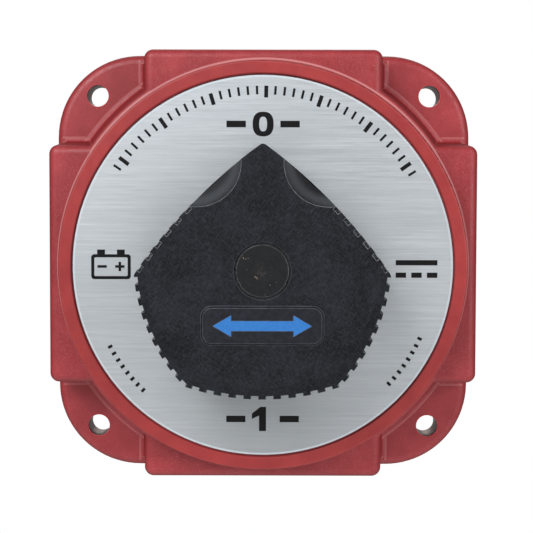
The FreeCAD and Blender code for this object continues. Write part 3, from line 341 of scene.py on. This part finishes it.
def badge_plastic():
    """The badge is moulded like the knob, with its edges paler, partly rubbed and partly a painted
    highlight.
    """
    tree = Tree("badge_black")
    mottle = tree.noise(0.8, 5, 0.75)
    colour = tree.mix(tree.remap(mottle, 0.45, 0.75, 0.0, 0.4), linear(16, 19, 27), linear(52, 58, 70))
    # Paler edges: a painted highlight along the plate's borders, partly rubbed wear.
    patches = tree.remap(tree.noise(0.4, 3), 0.3, 0.7, 0.4, 1.0)
    edge_wear_and_highlight = tree.times(tree.edge_mask(0.5, 0.0, 0.12), patches)
    colour = tree.mix(edge_wear_and_highlight, colour, linear(112, 116, 124))
    rough = tree.remap(mottle, 0.3, 0.7, 0.45, 0.6)
    normal = tree.bump(tree.noise(3.0, 3), 0.02, tree.soft_edges(0.25))
    return tree.finish(colour, rough, normal, specular=0.26)


def small_plastic(name, first, second, rough_low=0.45, rough_high=0.62, grain=2.5):
    """Plain moulded plastic of a small inner piece."""
    tree = Tree(name)
    cloud = tree.remap(tree.noise(0.35, 5, 0.6), 0.35, 0.65)
    colour = tree.mix(cloud, linear(*first), linear(*second))
    rough = tree.remap(tree.noise(0.8, 3), 0.3, 0.7, rough_low, rough_high)
    normal = tree.bump(tree.noise(grain, 3), 0.015, tree.soft_edges(0.2))
    return tree.finish(colour, rough, normal)


def worked_metal(name, first, second, rough_low, rough_high):
    """Machined metal: fine turning lines, stains and bright edges."""
    tree = Tree(name)
    lines = tree.noise(1.0, 3, 0.6, tree.scaled(0.3, 6.0, 0.3))
    stain = tree.noise(0.25, 5, 0.65)
    colour = tree.mix(tree.remap(stain, 0.35, 0.68), linear(*first), linear(*second))
    bright = [min(255, value + 32) for value in first]
    colour = tree.mix(tree.times(tree.edge_mask(0.3), 0.6), colour, linear(*bright))
    rough = tree.remap(lines, 0.3, 0.7, rough_low, rough_high)
    normal = tree.bump(lines, 0.01, tree.soft_edges(0.2))
    return tree.finish(colour, rough, normal, metallic=1.0)


def rubber():
    """Dull dark rubber with a dusty grain."""
    tree = Tree("seal_rubber")
    colour = tree.mix(tree.remap(tree.noise(0.5, 5), 0.35, 0.65), linear(22, 22, 22), linear(34, 33, 32))
    rough = tree.remap(tree.noise(1.5, 4), 0.3, 0.7, 0.65, 0.85)
    return tree.finish(colour, rough, tree.bump(tree.noise(3.0, 3), 0.02))


def print_ink(name, first, second):
    """Screen-printed ink with a faint grain and slightly uneven gloss."""
    tree = Tree(name)
    colour = tree.mix(tree.remap(tree.noise(1.5, 4), 0.35, 0.65), linear(*first), linear(*second))
    rough = tree.remap(tree.noise(2.0, 3), 0.3, 0.7, 0.38, 0.5)
    return tree.finish(colour, rough, tree.bump(tree.noise(5.0, 2), 0.004), specular=0.2)


MATERIALS = {
    "housing_red": red_plastic(),
    "dial_aluminium": dial_metal(),
    "knob_black": knob_plastic(),
    "cap_black": cap_plastic(),
    "badge_black": badge_plastic(),
    "inlay_blue": print_ink("inlay_blue", (53, 118, 188), (46, 108, 178)),
    "steel": worked_metal("steel", (178, 176, 172), (150, 146, 140), 0.28, 0.42),
    "sleeve_steel": worked_metal("sleeve_steel", (146, 130, 123), (98, 84, 80), 0.4, 0.55),
    "spring_steel": worked_metal("spring_steel", (150, 150, 148), (128, 124, 118), 0.25, 0.4),
    "copper": worked_metal("copper", (196, 120, 84), (164, 92, 62), 0.26, 0.42),
    "bronze": worked_metal("bronze", (170, 128, 72), (140, 100, 54), 0.35, 0.5),
    "brass": worked_metal("brass", (200, 168, 96), (170, 138, 74), 0.22, 0.36),
    "phenolic": small_plastic("phenolic", (28, 25, 24), (20, 18, 18), 0.35, 0.5, 4.0),
    "acetal": small_plastic("acetal", (224, 222, 214), (212, 209, 200), 0.4, 0.55),
    "seal_rubber": rubber(),
    "print_black": print_ink("print_black", (8, 8, 10), (15, 15, 18)),
}


def paint_cad():
    """Give each CAD node the material of its slot."""
    for part in frame["record"]["subparts"]:
        node = NODES[part["node"]]
        node.data.materials.clear()
        node.data.materials.append(MATERIALS[part["material_slot"]])


# ------------------------------------------- outlines in the dial's plane, mm


def superellipse(half_x, half_z, power, count=64):
    points = []
    for step in range(count):
        angle = 2 * math.pi * step / count
        cos, sin = math.cos(angle), math.sin(angle)
        points.append((
            math.copysign(abs(cos) ** (2 / power) * half_x, cos),
            math.copysign(abs(sin) ** (2 / power) * half_z, sin),
        ))
    return points


def shifted(points, x, z):
    return [(px + x, pz + z) for px, pz in points]


def box_outline(x0, z0, x1, z1):
    return [(x0, z0), (x1, z0), (x1, z1), (x0, z1)]


def round_rectangle(x0, z0, x1, z1, radius):
    steps, step_degrees = 7, 15
    corners = (
        (x1 - radius, z1 - radius, 0), (x0 + radius, z1 - radius, 90),
        (x0 + radius, z0 + radius, 180), (x1 - radius, z0 + radius, 270),
    )
    points = []
    for centre_x, centre_z, start in corners:
        for step in range(steps):
            angle = math.radians(start + step_degrees * step)
            points.append((centre_x + radius * math.cos(angle), centre_z + radius * math.sin(angle)))
    return points


def radial_bar(degrees, inner, outer, half_width):
    """A bar that points away from the dial's centre."""
    angle = math.radians(degrees)
    way = Vector((math.cos(angle), math.sin(angle)))
    side = Vector((-way.y, way.x)) * half_width
    corners = ((inner, 1), (inner, -1), (outer, -1), (outer, 1))
    return [tuple(way * reach + side * sign) for reach, sign in corners]


def numeral_zero(low, height):
    """Outer and inner outline of a bold zero centred on the dial's upright axis."""
    half_width, half_height, power = 4.0, height / 2, 2.5
    side_stroke, end_stroke = 2.5, 1.9
    outer = superellipse(half_width, half_height, power)
    inner = superellipse(half_width - side_stroke, half_height - end_stroke, power)
    return [shifted(outline, 0, low + half_height) for outline in (outer, inner)]


def numeral_one(low, height):
    """Outline of a bold one with a slanted flag."""
    half_stem, top = 1.35, low + height
    flag_start, flag_reach, flag_drop, flag_stroke, flag_root = 0.5, 4.1, 2.6, 2.1, 3.4
    return [[
        (-half_stem, low), (half_stem, low), (half_stem, top),
        (-half_stem + flag_start, top),
        (-flag_reach, top - flag_drop),
        (-flag_reach, top - flag_drop - flag_stroke),
        (-half_stem, top - flag_root),
    ]]


def side_bars(low, height):
    """Short bars on both sides of a numeral."""
    inner, outer, half_stroke = 6.6, 14.0, 1.25
    middle = low + height / 2
    return [
        box_outline(x0, middle - half_stroke, x1, middle + half_stroke)
        for x0, x1 in ((-outer, -inner), (inner, outer))
    ]


def battery_outlines():
    """Case with a frame line, two posts, a minus and a plus, about its own centre."""
    return [
        round_rectangle(-7.6, -5.2, 7.6, 4.4, 1.2),
        round_rectangle(-6.4, -4.0, 6.4, 3.2, 0.5),
        box_outline(-5.3, 4.4, -2.3, 6.2),
        box_outline(2.3, 4.4, 5.3, 6.2),
        box_outline(-5.2, -0.8, -1.6, 0.2),
        box_outline(1.6, -0.8, 5.2, 0.2),
        box_outline(2.9, 0.2, 3.9, 1.5),
        box_outline(2.9, -2.1, 3.9, -0.8),
    ]


def direct_current_outlines():
    """A long bar above three short ones."""
    left, right, dash, pitch, dashes = 51.0, 67.0, 4.0, 6.0, 3
    outlines = [box_outline(left, 0.4, right, 2.4)]
    for number in range(dashes):
        start = left + pitch * number
        outlines.append(box_outline(start, -4.4, start + dash, -2.4))
    return outlines


def scale_outlines():
    """Ticks of an arc, every sixth one longer and bolder."""
    first_angle, pitch, count, every, outer = 146, 3, 39, 6, 68.9
    outlines = []
    for step in range(count):
        inner, half_width = (64.4, 0.75) if step % every == 1 else (65.6, 0.45)
        outlines.append(radial_bar(first_angle - pitch * step, inner, outer, half_width))
    return outlines


def dot_row_outlines(first_angle):
    pitch, count, inner, outer, half_width = 2.6, 8, 65.6, 67.4, 0.55
    return [radial_bar(first_angle + pitch * step, inner, outer, half_width) for step in range(count)]


# ------------------------------------------------------------ dial markings


def printed(name, outlines):
    """A thin printed piece on the dial, from outlines in millimetres."""
    curve = bpy.data.curves.new(name + "_outline", "CURVE")
    curve.dimensions = "2D"
    curve.fill_mode = "BOTH"
    curve.extrude = PRINT_THICKNESS / 2
    for outline in outlines:
        spline = curve.splines.new("POLY")
        spline.points.add(len(outline) - 1)
        for point, (x, z) in zip(spline.points, outline):
            point.co = (x * MM, z * MM, 0, 1)
        spline.use_cyclic_u = True
    source = bpy.data.objects.new(name + "_source", curve)
    bpy.context.collection.objects.link(source)
    bpy.context.view_layer.update()
    mesh = bpy.data.meshes.new_from_object(source)
    bpy.data.objects.remove(source)
    level = DIAL_FRONT - PRINT_THICKNESS / 2
    mesh.transform(Matrix.Translation((0, level, 0)) @ Matrix.Rotation(math.radians(90), 4, "X"))
    mesh.materials.clear()
    mesh.materials.append(MATERIALS["print_black"])
    piece = bpy.data.objects.new(name, mesh)
    bpy.context.collection.objects.link(piece)
    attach(piece, "body")


def build_markings():
    height, upper, lower = 9.4, 49.6, -63.8
    battery_centre = -58.3
    printed("legend_zero", numeral_zero(upper, height) + side_bars(upper, height))
    printed("legend_one", numeral_one(lower, height) + side_bars(lower, height))
    printed("scale_ticks", scale_outlines())
    printed("battery_symbol", [shifted(outline, battery_centre, 0) for outline in battery_outlines()])
    printed("direct_current_symbol", direct_current_outlines())
    printed("dot_row_left", dot_row_outlines(-152))
    printed("dot_row_right", dot_row_outlines(-43))


# -------------------------------------------------------------------- stage


def build_floor():
    mesh = bpy.data.meshes.new("floor")
    half, front, level = 0.4, -1.6, -0.22
    corners = [(-half, front, level), (half, front, level), (half, half, level), (-half, half, level)]
    mesh.from_pydata(corners, [], [(0, 1, 2, 3)])
    floor = bpy.data.objects.new("floor", mesh)
    bpy.context.collection.objects.link(floor)
    mesh.materials.append(Tree("floor_pale").finish(linear(232, 232, 232), 0.8))


def build_world():
    """White behind the object, and a dimmer even light on it."""
    world = bpy.data.worlds.new("studio")
    world.use_nodes = True
    bpy.context.scene.world = world
    nodes, links = world.node_tree.nodes, world.node_tree.links
    nodes.clear()
    output = nodes.new("ShaderNodeOutputWorld")
    chooser = nodes.new("ShaderNodeMixShader")
    path = nodes.new("ShaderNodeLightPath")
    links.new(path.outputs["Is Camera Ray"], chooser.inputs[0])
    for socket, strength in zip(chooser.inputs[1:], (0.32, 1.0)):
        background = nodes.new("ShaderNodeBackground")
        background.inputs["Color"].default_value = (1, 1, 1, 1)
        background.inputs["Strength"].default_value = strength
        links.new(background.outputs[0], socket)
    links.new(chooser.outputs[0], output.inputs["Surface"])


def build_softbox(name, place, size, power):
    """A rectangular lamp that faces the object's origin."""
    light = bpy.data.lights.new(name, "AREA")
    light.shape = "RECTANGLE"
    light.size, light.size_y = size
    light.energy = power
    lamp = bpy.data.objects.new(name, light)
    lamp.location = place
    lamp.rotation_euler = (-Vector(place)).to_track_quat("-Z", "Y").to_euler()
    bpy.context.collection.objects.link(lamp)


def build_camera():
    pitch, yaw, roll = -0.0496779, 0.0016175, -0.0021782
    place = (0.0022753, -0.5863187, 0.0264373)
    focal_length, image_width, sensor_width = 1396.136, 533.0, 36.0
    turn = Matrix.Rotation(yaw, 3, "Z") @ Matrix.Rotation(pitch, 3, "X") @ Matrix.Rotation(roll, 3, "Y")
    right, ahead, up = turn.col
    basis = Matrix((right, up, -ahead)).transposed().to_4x4()
    data = bpy.data.cameras.new("camera")
    data.sensor_width = sensor_width
    data.lens = focal_length * sensor_width / image_width
    data.clip_start, data.clip_end = 0.05, 20.0
    camera = bpy.data.objects.new("camera", data)
    camera.matrix_world = Matrix.Translation(place) @ basis
    bpy.context.collection.objects.link(camera)
    bpy.context.scene.camera = camera
    settings = bpy.context.scene.view_settings
    settings.view_transform = "Standard"
    settings.look = "None"


paint_cad()
build_markings()
build_floor()
build_world()
build_softbox("key_softbox", (-0.45, -0.80, 0.55), (0.6, 0.6), 8.4)
build_softbox("fill_softbox", (0.68, -0.74, 0.25), (0.4, 0.7), 4.0)
build_softbox("back_softbox", (0.0, 0.70, 0.60), (0.8, 0.4), 4.0)
build_camera()

bpy.context.view_layer.update()
